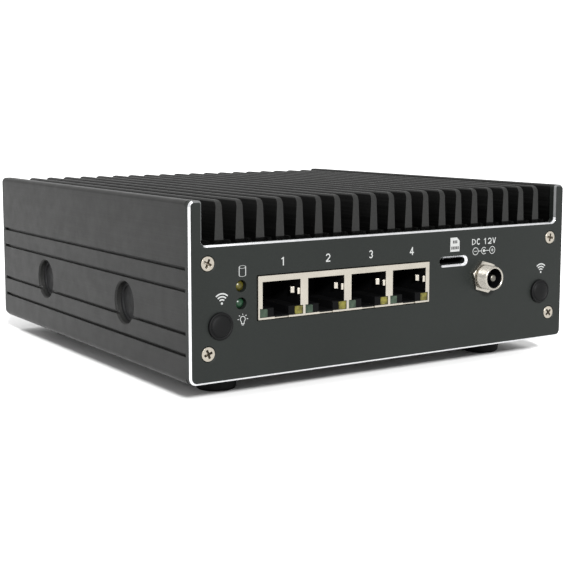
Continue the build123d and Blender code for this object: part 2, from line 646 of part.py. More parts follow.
with BuildPart() as dc_jack_barrel:
    extrude(dc_circle(mouth_y, BARREL_R), amount=-(JACK_REACH - NUT_T))
    extrude(dc_circle(FRONT_Y - NUT_T, BARREL_NECK_R), amount=-(barrel_rear - FRONT_Y + NUT_T))
    extrude(dc_circle(mouth_y, BARREL_LIP_R), amount=-BARREL_LIP_T, mode=Mode.SUBTRACT)
    bore_y = mouth_y + BARREL_LIP_T
    extrude(dc_circle(bore_y, BARREL_BORE_R), amount=-(barrel_rear - bore_y), mode=Mode.SUBTRACT)
    mouth_edges = dc_jack_barrel.edges().group_by(Axis.Y)[0]
    chamfer(mouth_edges.sort_by(SortBy.RADIUS)[-1], 0.25)
    chamfer(mouth_edges.sort_by(SortBy.RADIUS)[0], 0.15)
finish(dc_jack_barrel, "dc_jack_barrel")

with BuildPart() as dc_jack_pin:
    pin_y = mouth_y + DC_PIN_RECESS
    extrude(dc_circle(pin_y, DC_PIN_R), amount=-(inlet_y + DC_BODY_L - 0.5 - pin_y))
    fillet(dc_jack_pin.edges().group_by(Axis.Y)[0], 0.5)
finish(dc_jack_pin, "dc_jack_pin")

nut_r = NUT_ACROSS_FLATS / 2
with BuildPart() as dc_jack_nut:
    with BuildSketch(facing_front(DC_X, FRONT_Y, DC_Z, 14)):
        RegularPolygon(nut_r, 6, major_radius=False, rotation=30)
        Circle(BARREL_NECK_R + 0.02, mode=Mode.SUBTRACT)
    extrude(amount=NUT_T)
    with BuildSketch(Plane((DC_X, FRONT_Y, DC_Z), x_dir=(1, 0, 0), z_dir=(0, 0, 1))):
        with BuildLine():
            Polyline((0, 0.1), (nut_r + 1.2, 0.1), (nut_r + 1.2, -NUT_T + 0.55),
                     (nut_r + 0.15, -NUT_T), (0, -NUT_T), close=True)
        make_face()
    revolve(axis=Axis((DC_X, FRONT_Y, DC_Z), (0, 1, 0)), mode=Mode.INTERSECT)
finish(dc_jack_nut, "dc_jack_nut")

# --- Rear ports
port_y = REAR_Y + PORT_PROUD
with BuildPart() as usb_shells:
    with BuildSketch(upright(port_y)):
        with Locations(*[(x, USB_Z) for x in USB_XS]):
            RectangleRounded(USB_W, USB_H, 0.7)
            RectangleRounded(USB_W - 0.7, USB_H - 0.7, 0.4, mode=Mode.SUBTRACT)
    extrude(amount=USB_DEPTH)
finish(usb_shells, "usb_shells")

with BuildPart() as usb_inserts:
    with BuildSketch(upright(port_y - USB_DEPTH + 4.0)):
        with Locations(*[(x, USB_Z) for x in USB_XS]):
            RectangleRounded(USB_W - 0.74, USB_H - 0.74, 0.38)
    extrude(amount=4.0)
    with BuildSketch(upright(port_y - 1.2)):
        with Locations(*[(x, USB_Z + 0.9) for x in USB_XS]):
            Rectangle(11.0, 1.9)
    extrude(amount=USB_DEPTH - 3.0)
finish(usb_inserts, "usb_inserts")


def hdmi_outline(inset):
    """Wide rectangle with its two lower corners cut off."""
    half, top, low = HDMI_W / 2 - inset, HDMI_H / 2 - inset, -HDMI_H / 2 + inset
    with BuildSketch(mode=Mode.PRIVATE) as outline:
        with BuildLine():
            Polyline((-half, top), (half, top), (half, low + 1.9), (half - 1.6, low + 0.7), (half - 1.9, low),
                     (-half + 1.9, low), (-half + 1.6, low + 0.7), (-half, low + 1.9), close=True)
        make_face()
    return outline.sketch


with BuildPart() as hdmi_shell:
    with BuildSketch(upright(port_y)):
        with Locations((HDMI_X, HDMI_Z)):
            add(hdmi_outline(0))
            add(hdmi_outline(0.4), mode=Mode.SUBTRACT)
    extrude(amount=HDMI_DEPTH)
finish(hdmi_shell, "hdmi_shell")

with BuildPart() as hdmi_insert:
    with BuildSketch(upright(port_y - HDMI_DEPTH + 3.0)):
        with Locations((HDMI_X, HDMI_Z)):
            add(hdmi_outline(0.42))
    extrude(amount=3.0)
    with BuildSketch(upright(port_y - 1.0)):
        with Locations((HDMI_X, HDMI_Z + 0.3)):
            Rectangle(10.6, 1.2)
    extrude(amount=HDMI_DEPTH - 2.5)
finish(hdmi_insert, "hdmi_insert")

# --- Power button: cap and plunger move together; the switch body stays on the board
switch_rear = REAR_Y - PANEL_T - 3.2
with BuildPart() as power_button_cap:
    with BuildSketch(upright(REAR_Y + BUTTON_REACH)):
        with Locations((BUTTON_X, BUTTON_Z)):
            Circle(BUTTON_R)
    extrude(amount=BUTTON_REACH + PANEL_T + 0.2)
    rim = power_button_cap.edges().group_by(Axis.Y)[-1]
    fillet(rim, 0.5)
    with BuildSketch(upright(REAR_Y - PANEL_T - 0.1)):
        with Locations((BUTTON_X, BUTTON_Z)):
            Circle(BUTTON_R + 0.8)
    extrude(amount=0.9)
finish(power_button_cap, "power_button_cap")

with BuildPart() as power_switch_plunger:
    with BuildSketch(upright(REAR_Y - PANEL_T - 1.0)):
        with Locations((BUTTON_X, BUTTON_Z)):
            Circle(1.2)
    extrude(amount=4.2)
finish(power_switch_plunger, "power_switch_plunger")

with BuildPart() as power_switch:
    with BuildSketch(Plane.XY.offset(BOARD_TOP)):
        with Locations((BUTTON_X, switch_rear - 3.5)):
            Rectangle(7.4, 7.0)
    extrude(amount=BUTTON_Z + 3.6 - BOARD_TOP)
    with BuildSketch(upright(switch_rear)):
        with Locations((BUTTON_X, BUTTON_Z)):
            Circle(1.25)
    extrude(amount=3.6, mode=Mode.SUBTRACT)
finish(power_switch, "power_switch")

# --- Chips and parts soldered on top of the board
lan_chip_y = FRONT_Y + 42.0
box_group("lan_transformers", (11.6, 9.4, 5.6), [(x, FRONT_Y + 30.0, BOARD_TOP) for x in LAN_XS], edge=0.4)
box_group("lan_controllers", (7.0, 7.0, 0.9), [(x, lan_chip_y, BOARD_TOP) for x in LAN_XS], edge=0.2)
box_group("power_inductors", (7.0, 6.6, 3.0),
          [(34.0, BOARD_Y - 14.0 + 11.0 * i, BOARD_TOP) for i in range(4)], edge=0.9)

with BuildPart() as power_capacitors:
    with Locations(*[(43.5, BOARD_Y - 14.0 + 8.5 * i, BOARD_TOP) for i in range(5)]):
        Cylinder(3.1, 5.8, align=(Align.CENTER, Align.CENTER, Align.MIN))
    fillet(power_capacitors.edges().group_by(Axis.Z)[-1], 0.4)
finish(power_capacitors, "power_capacitors")

cell_xy = (-36.0, BOARD_Y + 30.0)
with BuildPart() as coin_cell_holder:
    with Locations((*cell_xy, BOARD_TOP)):
        Cylinder(11.6, 4.2, align=(Align.CENTER, Align.CENTER, Align.MIN))
    with Locations((*cell_xy, BOARD_TOP + 0.9)):
        Cylinder(10.1, 4.2, align=(Align.CENTER, Align.CENTER, Align.MIN), mode=Mode.SUBTRACT)
finish(coin_cell_holder, "coin_cell_holder")

with BuildPart() as coin_cell:
    with Locations((*cell_xy, BOARD_TOP + 0.9)):
        Cylinder(10.0, 3.2, align=(Align.CENTER, Align.CENTER, Align.MIN))
    chamfer(coin_cell.edges().group_by(Axis.Z)[-1], 0.4)
finish(coin_cell, "coin_cell")

box_group("firmware_chip", (5.2, 5.2, 1.8), [(-36.0, BOARD_Y + 8.0, BOARD_TOP)], edge=0.1)


# --- Cards under the board: memory, solid-state drive and a free modem socket
def hanging_box(x, y, z, size):
    """Block whose top face is at z."""
    with Locations((x, y, z)):
        Box(*size, align=(Align.CENTER, Align.CENTER, Align.MAX))


memory_y = BOARD_Y + 18.0
card_top = BOARD_UNDER - 2.6
with BuildPart() as memory_socket:
    hanging_box(0, memory_y + 18.5, BOARD_UNDER, (72.0, 7.0, 5.0))
    for side in (-1, 1):
        hanging_box(side * 35.4, memory_y + 2.0, BOARD_UNDER, (2.4, 27.0, 3.9))
    with Locations((0, memory_y + 15.0, card_top)):
        Box(67.9, 6.0, 1.1, align=(Align.CENTER, Align.CENTER, Align.MAX), mode=Mode.SUBTRACT)
finish(memory_socket, "memory_socket")

with BuildPart() as memory_module:
    with BuildSketch(Plane.XY.offset(card_top - 1.05)):
        with Locations((0, memory_y + 2.9)):
            Rectangle(67.6, 30.0)
        with Locations((8.0, memory_y + 17.9)):
            Rectangle(1.6, 8.0, mode=Mode.SUBTRACT)
    extrude(amount=1.0)
finish(memory_module, "memory_module")

chip_z = card_top - 1.05 - 0.9
box_group("memory_chips", (11.0, 9.0, 0.88),
          [((i - 1.5) * 15.0, memory_y + y, chip_z) for i in range(4) for y in (-6.0, 5.0)])

ssd_x, ssd_y = -22.0, BOARD_Y - 26.0
with BuildPart() as ssd_socket:
    hanging_box(ssd_x + 24.4, ssd_y, BOARD_UNDER, (8.0, 22.0, 4.2))
    with Locations((ssd_x + 21.0, ssd_y, card_top)):
        Box(3.4, 20.0, 0.9, align=(Align.CENTER, Align.CENTER, Align.MAX), mode=Mode.SUBTRACT)
finish(ssd_socket, "ssd_socket")

with BuildPart() as ssd_card:
    with BuildSketch(Plane.XY.offset(card_top - 0.85)):
        with Locations((ssd_x, ssd_y)):
            Rectangle(42.0, 19.8)
        with Locations((ssd_x - 21.0, ssd_y)):
            Circle(1.75, mode=Mode.SUBTRACT)
    extrude(amount=0.8)
finish(ssd_card, "ssd_card")

box_group("ssd_chips", (13.0, 16.0, 1.2), [(ssd_x + dx, ssd_y, card_top - 2.06) for dx in (-9.0, 9.0)])

ssd_post_xy = (ssd_x - 21.0, ssd_y)
with BuildPart() as ssd_post:
    with Locations((*ssd_post_xy, BOARD_UNDER)):
        Cylinder(2.6, 2.6, align=(Align.CENTER, Align.CENTER, Align.MAX))
    with Locations(facing_down(*ssd_post_xy, BOARD_UNDER - 2.6)):
        Hole(1.05, depth=2.2)
finish(ssd_post, "ssd_post")

upward_screws("ssd_screw", pan_screw(2.8, 2.5, 0.9, 1.0), [(*ssd_post_xy, card_top - 0.86)])

with BuildPart() as modem_socket:
    hanging_box(38.0, BOARD_Y - 26.0, BOARD_UNDER, (8.0, 29.0, 5.0))
    with Locations((34.8, BOARD_Y - 26.0, BOARD_UNDER - 2.6)):
        Box(3.6, 26.6, 1.1, mode=Mode.SUBTRACT)
finish(modem_socket, "modem_socket")
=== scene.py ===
import json
from math import cos, hypot, pi, radians, sin, tau

import bmesh
import bpy
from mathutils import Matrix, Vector


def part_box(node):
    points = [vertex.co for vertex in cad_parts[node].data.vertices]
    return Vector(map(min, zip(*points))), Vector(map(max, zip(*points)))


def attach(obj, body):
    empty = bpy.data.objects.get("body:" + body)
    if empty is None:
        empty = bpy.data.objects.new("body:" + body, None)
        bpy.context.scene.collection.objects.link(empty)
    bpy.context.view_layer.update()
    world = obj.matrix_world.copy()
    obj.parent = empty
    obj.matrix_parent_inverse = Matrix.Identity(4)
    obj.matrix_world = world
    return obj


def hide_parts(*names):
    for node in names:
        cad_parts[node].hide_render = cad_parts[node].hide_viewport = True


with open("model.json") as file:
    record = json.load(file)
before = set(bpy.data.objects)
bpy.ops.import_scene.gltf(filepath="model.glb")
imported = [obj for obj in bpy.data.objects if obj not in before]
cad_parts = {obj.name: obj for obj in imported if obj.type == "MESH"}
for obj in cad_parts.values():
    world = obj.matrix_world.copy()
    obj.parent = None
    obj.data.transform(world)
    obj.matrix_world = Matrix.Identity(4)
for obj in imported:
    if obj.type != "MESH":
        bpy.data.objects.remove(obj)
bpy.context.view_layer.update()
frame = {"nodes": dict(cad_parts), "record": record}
nodes = frame["nodes"]
MM = 0.001

# Places that the whole script works from, all read from the frame.
PANEL_LOW, PANEL_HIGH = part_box("front_panel")
PANEL_Y = PANEL_LOW.y
PANEL_BOTTOM = PANEL_LOW.z
SCREWS_LOW, SCREWS_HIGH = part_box("front_panel_screws")
BARREL_LOW, BARREL_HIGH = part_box("dc_jack_barrel")
NUT_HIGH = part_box("dc_jack_nut")[1]
FIN_SPAN = PANEL_HIGH.x - 3.4 * MM
FIN_Z = PANEL_HIGH.z - 0.2 * MM
DECK_Z = PANEL_BOTTOM + 34.2 * MM
NOTCH_Z = PANEL_BOTTOM + 34.85 * MM
BEVEL_REACH = 1.2 * MM
RIB_H = 1.6 * MM

# How fine the lathed pieces are, and the thickness of the printing ink in mm.
ROUND_SEGMENTS = 96
INK_T = 0.03


def middle(node):
    low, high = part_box(node)
    return (low + high) / 2


# --- Materials
class Shader:
    """A material's node tree around one Principled shader, with short calls for the nodes used here."""

    def __init__(self, name, colour=(0.5, 0.5, 0.5), roughness=0.5, metallic=0.0, **fixed):
        self.material = bpy.data.materials.new(name)
        self.material.use_nodes = True
        self.tree = self.material.node_tree
        self.bsdf = self.tree.nodes["Principled BSDF"]
        self.bsdf.inputs["Base Color"].default_value = (*colour, 1)
        self.bsdf.inputs["Roughness"].default_value = roughness
        self.bsdf.inputs["Metallic"].default_value = metallic
        for socket, value in fixed.items():
            self.bsdf.inputs[socket.replace("_", " ")].default_value = value
        self.coords = self.tree.nodes.new("ShaderNodeTexCoord").outputs["Object"]
        self.height = None

    def put(self, value, socket):
        if isinstance(value, bpy.types.NodeSocket):
            self.tree.links.new(value, socket)
        elif hasattr(value, "__len__") and len(value) == 3 and socket.type == "RGBA":
            socket.default_value = (*value, 1)
        else:
            socket.default_value = value

    def set(self, **sockets):
        for name, value in sockets.items():
            self.put(value, self.bsdf.inputs[name.replace("_", " ")])
        return self

    def math(self, op, a, b=0.0, clamp=False):
        node = self.tree.nodes.new("ShaderNodeMath")
        node.operation = op
        node.use_clamp = clamp
        self.put(a, node.inputs[0])
        self.put(b, node.inputs[1])
        return node.outputs[0]

    def stretched(self, scale):
        """Object coordinates multiplied along each axis."""
        node = self.tree.nodes.new("ShaderNodeMapping")
        self.put(self.coords, node.inputs["Vector"])
        node.inputs["Scale"].default_value = scale
        return node.outputs[0]

    def noise(self, scale, detail=3.0, rough=0.55, vector=None):
        node = self.tree.nodes.new("ShaderNodeTexNoise")
        self.put(vector or self.coords, node.inputs["Vector"])
        node.inputs["Scale"].default_value = scale
        node.inputs["Detail"].default_value = detail
        node.inputs["Roughness"].default_value = rough
        return node.outputs["Fac"]

    def cells(self, scale):
        node = self.tree.nodes.new("ShaderNodeTexVoronoi")
        self.put(self.coords, node.inputs["Vector"])
        node.inputs["Scale"].default_value = scale
        return node.outputs["Distance"]

    def range(self, value, low, high, to_low=0.0, to_high=1.0):
        node = self.tree.nodes.new("ShaderNodeMapRange")
        for socket, v in zip(node.inputs, (value, low, high, to_low, to_high)):
            self.put(v, socket)
        return node.outputs[0]

    def mix(self, factor, a, b):
        node = self.tree.nodes.new("ShaderNodeMix")
        node.data_type = "RGBA"
        self.put(factor, node.inputs["Factor"])
        first, second = [socket for socket in node.inputs if socket.type == "RGBA"]
        self.put(a, first)
        self.put(b, second)
        return next(socket for socket in node.outputs if socket.type == "RGBA")

    def axis(self, name, source=None):
        """One component of the object coordinates or of another vector."""
        node = self.tree.nodes.new("ShaderNodeSeparateXYZ")
        self.put(source or self.coords, node.inputs[0])
        return node.outputs[name]

    def normal(self):
        """The face's own normal, without smoothing."""
        return self.tree.nodes.new("ShaderNodeNewGeometry").outputs["True Normal"]

    def rounded(self, radius):
        """Shade every sharp edge as if it were rounded, under any bump added later."""
        bevel = self.tree.nodes.new("ShaderNodeBevel")
        bevel.samples = 4
        bevel.inputs["Radius"].default_value = radius
        self.height = bevel.outputs[0]
        self.put(self.height, self.bsdf.inputs["Normal"])
        return self

    def edges(self, radius):
        """Near 1 along sharp edges and 0 on open surfaces."""
        bevel = self.tree.nodes.new("ShaderNodeBevel")
        bevel.samples = 6
        bevel.inputs["Radius"].default_value = radius
        dot = self.tree.nodes.new("ShaderNodeVectorMath")
        dot.operation = "DOT_PRODUCT"
        self.put(bevel.outputs[0], dot.inputs[0])
        self.put(self.normal(), dot.inputs[1])
        return self.range(dot.outputs["Value"], 0.995, 0.80)

    def bump(self, height, strength=0.3, distance=0.0001):
        node = self.tree.nodes.new("ShaderNodeBump")
        node.inputs["Strength"].default_value = strength
        node.inputs["Distance"].default_value = distance
        self.put(height, node.inputs["Height"])
        if self.height is not None:
            self.put(self.height, node.inputs["Normal"])
        self.height = node.outputs[0]
        self.put(self.height, self.bsdf.inputs["Normal"])
        return self


def bright_bevel_mask(s):
    """1 on a panel's machined bevels, low on those of its notch walls, 0 on flat faces and screw sinks."""
    slope = s.math("ABSOLUTE", s.axis("Y", s.normal()))
    bevel = s.math("MULTIPLY", s.math("GREATER_THAN", slope, 0.5), s.math("LESS_THAN", slope, 0.9))
    x = s.math("ABSOLUTE", s.axis("X"))
    z = s.axis("Z")
    inner, outer = SCREWS_HIGH.x - 5.0 * MM, SCREWS_HIGH.x + 0.7 * MM
    outside_column = s.math("ADD", s.math("LESS_THAN", x, inner), s.math("GREATER_THAN", x, outer))
    above, below = SCREWS_HIGH.z + 0.6 * MM, SCREWS_LOW.z - 0.6 * MM
    above_or_below = s.math("ADD", s.math("GREATER_THAN", z, above), s.math("LESS_THAN", z, below))
    mask = s.math("MULTIPLY", bevel, s.math("ADD", outside_column, above_or_below, clamp=True))
    notch_wall = s.math("MULTIPLY", s.math("LESS_THAN", x, PANEL_HIGH.x - BEVEL_REACH),
                        s.math("GREATER_THAN", z, NOTCH_Z + 1.3 * MM))
    return s.math("MULTIPLY", mask, s.math("SUBTRACT", 1.0, s.math("MULTIPLY", notch_wall, 0.9)))


def anodised(name, base, lines=False):
    """Black anodised aluminium with a fine blasted grain.

    With lines, it is the extrusion: drawn lines run along Y, and the gaps between its fins get painted shade.
    """
    s = Shader(name, Specular_IOR_Level=0.13).rounded(0.00018)
    grain = s.noise(3200, 2.0, 0.6)
    cloud = s.noise(30, 2.0)
    tone = s.mix(s.range(cloud, 0.3, 0.7), [c * 0.92 for c in base], [c * 1.08 for c in base])
    tone = s.mix(s.range(grain, 0.4, 0.62, 0.0, 0.3), tone, [c * 1.9 for c in base])
    worn = s.math("MULTIPLY", s.edges(0.0002), s.range(s.noise(900, 2.0), 0.45, 0.7), clamp=True)
    tone = s.mix(s.math("MULTIPLY", worn, 0.4), tone, [min(1, c * 6) for c in base])
    rough = s.range(s.noise(260, 3.0), 0.3, 0.7, 0.40, 0.47)
    if lines:
        # Painted shade between the fins: there the colour goes near-black, rougher and metallic so it
        # reflects almost nothing, darkest at the deck and less so towards the fin tips.
        hidden = s.math("ADD", s.math("LESS_THAN", s.math("ABSOLUTE", s.axis("Y", s.normal())), 0.5),
                        s.math("LESS_THAN", s.axis("Z"), DECK_Z + RIB_H), clamp=True)
        above_deck = s.math("GREATER_THAN", s.axis("Z"), DECK_Z - 0.5 * MM)
        hidden = s.math("MULTIPLY", hidden, above_deck)
        under_fins = s.math("LESS_THAN", s.math("ABSOLUTE", s.axis("X")), FIN_SPAN)
        between = s.math("MULTIPLY", under_fins, hidden)
        below_tips = s.math("LESS_THAN", s.axis("Z"), FIN_Z - 0.5 * MM)
        depth = s.range(s.axis("Z"), DECK_Z, FIN_Z, 0.97, 0.6)
        recess = s.math("MULTIPLY", s.math("MULTIPLY", between, below_tips), depth)
        tone = s.mix(recess, tone, [c * 0.05 for c in base])
        rough = s.math("ADD", rough, s.math("MULTIPLY", recess, 0.3))
        s.set(Metallic=recess)
        drawn = s.noise(1.0, 3.0, 0.65, s.stretched((2600, 2.5, 2600)))
        tone = s.mix(s.range(drawn, 0.42, 0.75, 0.0, 0.45), tone, [c * 2.2 for c in base])
        s.bump(drawn, 0.2, 0.00004)
    s.set(Base_Color=tone, Roughness=rough)
    s.bump(grain, 0.16, 0.00004)
    return s


def panel_anodised(name, base):
    """Black anodised plate whose bevels were cut bright afterwards."""
    s = anodised(name, base)
    mask = bright_bevel_mask(s)
    dark = s.bsdf.inputs["Base Color"].links[0].from_socket
    cut = s.noise(1.0, 2.0, 0.5, s.stretched((700, 5000, 700)))
    bright = s.mix(s.range(cut, 0.3, 0.7), (0.64, 0.65, 0.67), (0.82, 0.82, 0.83))
    s.set(Base_Color=s.mix(mask, dark, bright))
    rough = s.bsdf.inputs["Roughness"].links[0].from_socket
    kept = s.math("MULTIPLY", rough, s.math("SUBTRACT", 1.0, mask))
    s.set(Roughness=s.math("ADD", kept, s.math("MULTIPLY", mask, 0.16)), Metallic=mask)
    return s


def plated(name, base, roughness=0.25, scale=700, tarnish=0.3):
    """Metal plate: slight colour drift, sparse tarnish, fine scratches and a soft orange-peel."""
    s = Shader(name, metallic=1.0).rounded(0.00008)
    drift = s.noise(scale * 0.2, 2.0)
    tone = s.mix(s.range(drift, 0.3, 0.7), [c * 0.93 for c in base], [min(1, c * 1.05) for c in base])
    dull = s.math("MULTIPLY", s.range(s.noise(scale, 4.0), 0.6, 0.85), tarnish)
    tone = s.mix(dull, tone, [c * 0.6 for c in base])
    fine = s.range(s.noise(scale * 2, 3.0), 0.3, 0.7, roughness - 0.05, roughness + 0.08)
    s.set(Base_Color=tone, Roughness=fine)
    s.bump(s.noise(scale * 3, 2.0), 0.08, 0.00002)
    return s


def moulded(name, base, roughness=0.45, grain=2200, strength=0.2, shine=0.4):
    """Moulded plastic with a fine texture and lighter edges."""
    s = Shader(name, Specular_IOR_Level=shine).rounded(0.00012)
    tone = s.mix(s.range(s.noise(140, 3.0), 0.3, 0.7), [c * 0.85 for c in base], [c * 1.15 for c in base])
    tone = s.mix(s.math("MULTIPLY", s.edges(0.0002), 0.3), tone, [min(1, c * 2.4 + 0.002) for c in base])
    s.set(Base_Color=tone, Roughness=s.range(s.noise(420, 2.0), 0.3, 0.7, roughness - 0.07, roughness + 0.08))
    s.bump(s.noise(grain, 2.0), strength, 0.00005)
    return s


def rubber(name, base, gloss=0.62):
    """Rubber with a little dust in its pores."""
    s = Shader(name, Specular_IOR_Level=0.1)
    dust = s.range(s.noise(1800, 3.0), 0.62, 0.85, 0.0, 0.15)
    rough = s.range(s.noise(300), 0.3, 0.7, gloss, gloss + 0.16)
    s.set(Base_Color=s.mix(dust, base, [c * 3.2 for c in base]), Roughness=rough)
    s.bump(s.noise(1500, 4.0), 0.25, 0.00006)
    return s


def lens(name, base, glow):
    """Tinted clear plastic with a brighter core."""
    s = Shader(name, roughness=0.3, Transmission_Weight=0.1, IOR=1.5, Specular_IOR_Level=0.25)
    s.set(Base_Color=s.mix(s.range(s.noise(600, 3.0), 0.35, 0.65), base, glow))
    s.bump(s.noise(1200, 2.0), 0.08, 0.00004)
    return s


def circuit_board(name, base):
    """Solder mask over copper traces, with dots of pads."""
    s = Shader(name, roughness=0.35, Coat_Weight=0.3)
    lanes = s.noise(1.0, 0.0, 0.5, s.stretched((420, 55, 300)))
    cross = s.noise(1.0, 0.0, 0.5, s.stretched((60, 460, 300)))
    trace = s.math("MAXIMUM", s.range(lanes, 0.54, 0.56), s.range(cross, 0.56, 0.58))
    pad = s.range(s.cells(230), 0.16, 0.13)
    tone = s.mix(trace, base, [c * 1.8 + 0.01 for c in base])
    s.set(Base_Color=s.mix(pad, tone, (0.72, 0.68, 0.58)), Metallic=s.math("MULTIPLY", pad, 0.8))
    s.bump(s.math("ADD", trace, pad), 0.4, 0.00006)
    return s


def epoxy(name, base):
    """Moulded chip package with laser-etched speckle."""
    s = Shader(name)
    speck = s.range(s.noise(3000, 2.0), 0.55, 0.75, 0.0, 0.5)
    rough = s.range(s.noise(500), 0.3, 0.7, 0.42, 0.6)
    s.set(Base_Color=s.mix(speck, base, [c * 2.5 for c in base]), Roughness=rough)
    s.bump(s.noise(2600, 2.0), 0.3, 0.00004)
    return s


def ink(name, full, thin):
    """Screen-printing ink, a little thin in places."""
    s = Shader(name, roughness=0.55)
    s.set(Base_Color=s.mix(s.range(s.noise(1600, 3.0), 0.5, 0.85, 0.0, 0.35), full, thin))
    s.bump(s.noise(2000, 2.0), 0.2, 0.00002)
    return s


looks = {
    "anodised_black": anodised("anodised_extrusion", (0.0085, 0.0086, 0.0083), lines=True),
    "panel": panel_anodised("anodised_panel", (0.0072, 0.0084, 0.0077)),
    "bottom_paint": moulded("powder_coat", (0.02, 0.02, 0.021), 0.55, 1500, 0.5),
    "nickel": plated("nickel_plate", (0.41, 0.385, 0.335), 0.3),
    "screw_steel": plated("screw_nickel", (0.37, 0.34, 0.29), 0.3, 1100, 0.45),
    "rubber": rubber("black_rubber", (0.006, 0.0062, 0.0065)),
    "plug_rubber": rubber("plug_rubber", (0.002, 0.0021, 0.0022), 0.5),
    "side_plug_plastic": moulded("plug_plastic", (0.009, 0.0092, 0.0095), 0.5, shine=0.12),
    "black_plastic": moulded("black_moulding", (0.002, 0.002, 0.0022), 0.55, shine=0.04),
    "blue_plastic": moulded("blue_moulding", (0.02, 0.09, 0.4)),
    "circuit_board": circuit_board("solder_mask", (0.008, 0.06, 0.028)),
    "chip_epoxy": epoxy("chip_epoxy", (0.02, 0.02, 0.022)),
    "contact_gold": plated("contact_gold", (0.9, 0.66, 0.28), 0.2, 1500),
    "led_green": lens("green_lens", (0.003, 0.014, 0.006), (0.01, 0.035, 0.017)),
    "led_yellow": lens("yellow_lens", (0.03, 0.026, 0.003), (0.085, 0.075, 0.01)),
    "port_led_green": lens("port_green_lens", (0.006, 0.015, 0.008), (0.025, 0.042, 0.026)),
    "port_led_yellow": lens("port_yellow_lens", (0.028, 0.024, 0.002), (0.11, 0.1, 0.014)),
    "thermal_pad": moulded("thermal_silicone", (0.32, 0.34, 0.38), 0.7, 900, 0.4),
    "block_aluminium": plated("bare_aluminium", (0.8, 0.8, 0.8), 0.35, 500),
    "ink": ink("white_ink", (0.23, 0.234, 0.23), (0.15, 0.153, 0.15)),
    "dark_ink": ink("black_ink", (0.02, 0.02, 0.02), (0.05, 0.05, 0.05)),
}


def wear(obj, look):
    """Put one of the looks on an object."""
    obj.data.materials.clear()
    obj.data.materials.append(looks[look].material)


for part in frame["record"]["subparts"]:
    wear(nodes[part["node"]], part["material_slot"])
for panel_name in ("front_panel", "rear_panel"):
    wear(nodes[panel_name], "panel")
wear(nodes["lan_leds_green"], "port_led_green")
wear(nodes["lan_leds_yellow"], "port_led_yellow")


# --- Pieces built on the frame
def new_piece(name, bm, look, body="case", stands_for=(), smooth_angle=35):
    """A mesh object from bm, smooth except along sharp edges, riding on a body."""
    bmesh.ops.recalc_face_normals(bm, faces=bm.faces)
    limit = radians(smooth_angle)
    for face in bm.faces:
        face.smooth = True
    for edge in bm.edges:
        edge.smooth = len(edge.link_faces) == 2 and edge.calc_face_angle(pi) < limit
    mesh = bpy.data.meshes.new(name)
    bm.to_mesh(mesh)
    bm.free()
    obj = bpy.data.objects.new(name, mesh)
    bpy.context.scene.collection.objects.link(obj)
    wear(obj, look)
    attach(obj, body)
    if stands_for:
        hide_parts(*stands_for)
    return obj


def turned(profile, centre, axis, segments=ROUND_SEGMENTS):
    """Closed lathe body. The profile is (radius, distance along axis) in mm, from the axis back to it."""
    bm = bmesh.new()
    axis = Vector(axis)
    across = axis.orthogonal().normalized()
    other = axis.cross(across)
    rings = []
    for radius, along in profile:
        at = centre + axis * along * MM
        if radius == 0:
            rings.append([bm.verts.new(at)])
            continue
        ring = []
        for i in range(segments):
            angle = tau * i / segments
            ring.append(bm.verts.new(at + (across * cos(angle) + other * sin(angle)) * radius * MM))
        rings.append(ring)
    for first, second in zip(rings, rings[1:]):
        for i in range(segments):
            j = (i + 1) % segments
            near = [first[i % len(first)], first[j % len(first)]]
            far = [second[j % len(second)], second[i % len(second)]]
            bm.faces.new(list(dict.fromkeys(near + far)))
    return bm


def arc_points(centre, radius, start, end, steps):
    """Points of an arc in mm, angles in degrees."""
    sweep = [radians(start + (end - start) * i / steps) for i in range(steps + 1)]
    return [(centre[0] + radius * cos(a), centre[1] + radius * sin(a)) for a in sweep]


# Antenna hole plugs: a rolled rim, a shallow dome and a lipped stem.
def antenna_plug(side):
    node = f"antenna_plug_{side}"
    low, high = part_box(node)
    cap_r = (high.x - low.x) / 2 / MM
    proud = (PANEL_Y - low.y) / MM
    rear = (PANEL_Y - high.y) / MM
    rim = arc_points((cap_r - 0.3, 0.52), 0.3, 0, 90, 6)
    dome_r = cap_r - 0.75
    dome = [(dome_r * cos(radians(a)), 0.74 + (proud - 0.74) * sin(radians(a))) for a in range(0, 90, 9)]
    stem_r = 3.14
    profile = [(0, rear), (stem_r - 0.3, rear), (stem_r, rear + 0.4), (stem_r, 0.03), (cap_r, 0.03)]
    profile += rim + [(dome_r + 0.25, 0.78), (dome_r + 0.12, 0.7)] + dome + [(0, proud)]
    centre = Vector(((low.x + high.x) / 2, PANEL_Y, (low.z + high.z) / 2))
    bm = turned(profile, centre, (0, -1, 0))
    new_piece(f"{node}_moulding", bm, "plug_rubber", node, [node], 50)


antenna_plug("left")
antenna_plug("right")


# Rubber feet: tapered, with a rolled ground edge and a moulded recess round a flush rivet.
def feet():
    low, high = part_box("rubber_feet")
    top = high.z / MM
    foot_r = 6.0
    bm_all = bmesh.new()
    outer = [(foot_r, top), (foot_r - 0.05, top - 0.8), (foot_r - 0.62, 0.9)]
    roll = arc_points((foot_r - 1.42, 0.8), 0.8, 0, -90, 8)
    recess = [(3.2, 0.0), (2.9, 0.25), (2.7, 2.2), (1.6, 2.4), (1.5, 2.0), (0.9, 1.8), (0, 1.75)]
    for x in (low.x + foot_r * MM, high.x - foot_r * MM):
        for y in (low.y + foot_r * MM, high.y - foot_r * MM):
            bm = turned([(0, top)] + outer + roll + recess, Vector((x, y, 0)), (0, 0, 1), 64)
            mesh = bpy.data.meshes.new("one_foot")
            bm.to_mesh(mesh)
            bm.free()
            bm_all.from_mesh(mesh)
            bpy.data.meshes.remove(mesh)
    new_piece("rubber_feet_moulded", bm_all, "rubber", "case", ["rubber_feet"])


feet()


